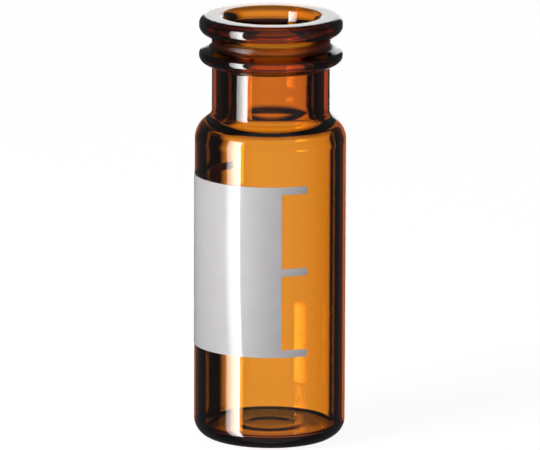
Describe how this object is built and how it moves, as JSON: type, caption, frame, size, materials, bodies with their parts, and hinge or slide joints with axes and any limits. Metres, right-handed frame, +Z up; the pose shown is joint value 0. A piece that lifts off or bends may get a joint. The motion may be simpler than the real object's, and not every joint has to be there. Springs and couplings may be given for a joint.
{
  "type": "glass sample vial",
  "caption": "Small amber glass sample vial with an open snap-ring mouth, a flat foot and a white enamel writing field with filling marks.",
  "frame": {"origin": "on the vial's axis at the plane of its foot", "axes": "+Z up along the vial's axis, out of its mouth; the writing field's edge with the marks is towards -Y, just on the +X side"},
  "size_m": [0.0116, 0.0116, 0.0325],
  "materials": {
    "amber_glass": "clear, fire polished",
    "white_enamel": "satin, printed and fired"
  },
  "bodies": {
    "root": {"vial": "amber_glass", "writing_field": "white_enamel"}
  },
  "joints": []
}
